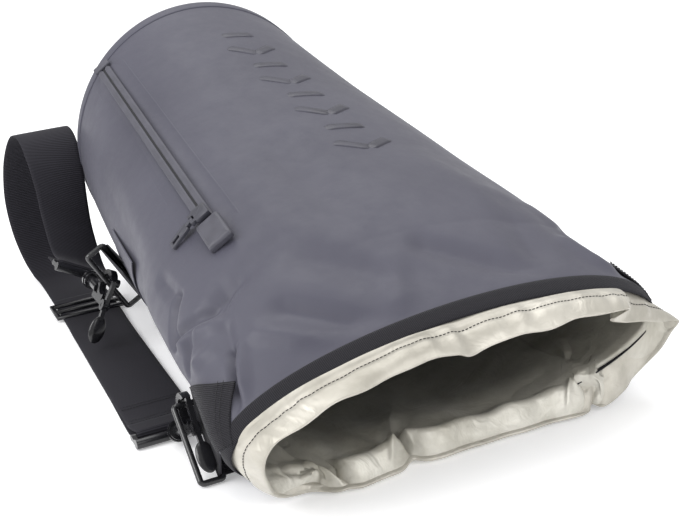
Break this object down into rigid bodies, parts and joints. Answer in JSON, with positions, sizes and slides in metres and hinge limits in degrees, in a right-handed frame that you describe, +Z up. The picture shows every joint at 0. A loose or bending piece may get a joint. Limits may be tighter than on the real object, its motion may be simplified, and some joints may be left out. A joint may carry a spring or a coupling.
{
  "type": "dry bag",
  "caption": "Roll-top dry bag lying on its side with its mouth open, with a welded zip pocket and a webbing shoulder strap on swivel snap hooks.",
  "frame": {"origin": "bottom centre of the whole object's bounding box, on the floor it lies on", "axes": "+Z up; the bag lies along Y with its closed base toward +Y and its open mouth toward -Y; the strap is on the -X side"},
  "size_m": [0.3401, 0.5289, 0.2325],
  "materials": {
    "shell_fabric": "matte coated",
    "liner_fabric": "satin silver coated",
    "black_webbing": "ribbed webbing",
    "zip_rubber": "matte",
    "zip_plastic": "satin",
    "batten_plastic": "matte",
    "black_metal": "glossy black",
    "black_plastic": "glossy black"
  },
  "bodies": {
    "bag": {"outer_shell": "shell_fabric", "hem_facing": "liner_fabric", "mouth_tape": "black_webbing", "base_weld_rim": "shell_fabric", "base_panel": "shell_fabric", "liner": "liner_fabric", "liner_base": "liner_fabric", "liner_seam_tape": "liner_fabric", "batten_upper": "batten_plastic", "batten_lower": "batten_plastic", "zip_panel": "zip_rubber", "zip_lip_left": "zip_rubber", "zip_lip_right": "zip_rubber", "zip_coil": "zip_plastic", "zip_garage": "zip_rubber", "zip_end_stop": "zip_rubber", "pocket_pouch": "liner_fabric", "tab_left": "black_webbing", "tab_right": "black_webbing", "tab_rear": "black_webbing", "patch_rear": "shell_fabric", "strap_webbing": "black_webbing", "hook_front_base": "black_plastic", "hook_rear_base": "black_plastic"},
    "ring_left": {"ring_left": "black_metal"},
    "ring_right": {"ring_right": "black_metal"},
    "ring_rear": {"ring_rear": "black_metal"},
    "hook_front": {"hook_front_claw": "black_plastic", "hook_front_pivot_pin": "black_metal"},
    "hook_front_lever": {"hook_front_lever": "black_plastic"},
    "hook_rear": {"hook_rear_claw": "black_plastic", "hook_rear_pivot_pin": "black_metal"},
    "hook_rear_lever": {"hook_rear_lever": "black_plastic"},
    "strap_slider": {"strap_slider": "black_plastic"},
    "zip_slider": {"zip_slider": "zip_plastic"},
    "zip_puller": {"zip_puller": "zip_plastic"}
  },
  "joints": [
    {"name": "ring_left_swing", "type": "hinge", "parent": "bag", "child": "ring_left", "pos_m": [-0.1336, -0.1621, 0.0205], "axis": [0, 0.745, 0.667], "range_deg": [-2, 2]},
    {"name": "ring_right_swing", "type": "hinge", "parent": "bag", "child": "ring_right", "pos_m": [0.1524, -0.1621, 0.0205], "axis": [0, 0.745, 0.667], "range_deg": [-60, 0]},
    {"name": "ring_rear_swing", "type": "hinge", "parent": "bag", "child": "ring_rear", "pos_m": [-0.11613, 0.0689, 0.0578], "axis": [-0.4879, 0, 0.8729], "range_deg": [-4, 4]},
    {"name": "hook_front_swivel", "type": "hinge", "parent": "bag", "child": "hook_front", "pos_m": [-0.1421, -0.1121, 0.0036], "axis": [0, -0.8192, 0.5736], "range_deg": [-4, 4]},
    {"name": "hook_front_gate", "type": "hinge", "parent": "hook_front", "child": "hook_front_lever", "pos_m": [-0.1421, -0.16211, 0.03068], "axis": [-1, 0, 0], "range_deg": [0, 15], "stiffness_Nm_per_rad": 0.05, "springref_deg": -11.46},
    {"name": "hook_rear_swivel", "type": "hinge", "parent": "bag", "child": "hook_rear", "pos_m": [-0.13441, 0.1144, 0.04201], "axis": [0, -1, 0], "range_deg": [-4, 4]},
    {"name": "hook_rear_gate", "type": "hinge", "parent": "hook_rear", "child": "hook_rear_lever", "pos_m": [-0.13766, 0.0579, 0.03638], "axis": [-0.866, 0, 0.5], "range_deg": [0, 15], "stiffness_Nm_per_rad": 0.05, "springref_deg": -11.46},
    {"name": "strap_slider_slide", "type": "slide", "parent": "bag", "child": "strap_slider", "axis": [0.0227, 0.9997, 0], "range_m": [-0.015, 0.015]},
    {"name": "zip_slide", "type": "slide", "parent": "bag", "child": "zip_slider", "axis": [0.0501, 0.9806, 0.1897], "range_m": [0, 0.25]},
    {"name": "zip_puller_swing", "type": "hinge", "parent": "zip_slider", "child": "zip_puller", "pos_m": [-0.10158, -0.0779, 0.13942], "axis": [0.0501, 0.9806, 0.1897], "range_deg": [0, 120]}
  ]
}
